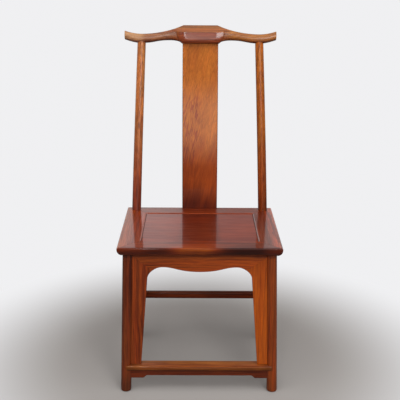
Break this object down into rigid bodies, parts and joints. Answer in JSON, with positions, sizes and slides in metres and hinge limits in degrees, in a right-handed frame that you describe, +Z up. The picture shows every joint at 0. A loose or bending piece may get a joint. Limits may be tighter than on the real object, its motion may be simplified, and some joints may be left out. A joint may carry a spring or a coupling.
{
  "type": "lamp-hanger chair",
  "caption": "High-backed wooden side chair with a yoke-shaped crest rail, a plain curved splat, a framed panel seat and an arched apron above a low footrest",
  "frame": {"origin": "on the floor under the middle of the chair's box", "axes": "+Z up, the chair faces -Y, +X to the right seen from the front"},
  "size_m": [0.5048, 0.4868, 1.1107],
  "materials": {
    "rosewood": "glossy clear lacquer over red-brown rosewood",
    "rosewood_dark": "glossy clear lacquer over dark red rosewood",
    "rosewood_light": "glossy clear lacquer over orange-brown rosewood"
  },
  "bodies": {
    "root": {"crest_rail": "rosewood", "rear_leg_left": "rosewood", "rear_leg_right": "rosewood", "back_splat": "rosewood_light", "seat_rail_front": "rosewood", "seat_rail_back": "rosewood", "seat_rail_left": "rosewood", "seat_rail_right": "rosewood", "seat_panel": "rosewood_dark", "panel_batten_left": "rosewood", "panel_batten_right": "rosewood", "front_leg_left": "rosewood", "front_leg_right": "rosewood", "front_apron": "rosewood", "front_apron_side_left": "rosewood", "front_apron_side_right": "rosewood", "side_apron_left": "rosewood", "side_apron_front_left": "rosewood", "side_apron_rear_left": "rosewood", "side_apron_right": "rosewood", "side_apron_front_right": "rosewood", "side_apron_rear_right": "rosewood", "back_apron": "rosewood", "footrest": "rosewood", "footrest_apron": "rosewood", "side_stretcher_left": "rosewood", "side_stretcher_right": "rosewood", "back_stretcher": "rosewood"}
  },
  "joints": []
}
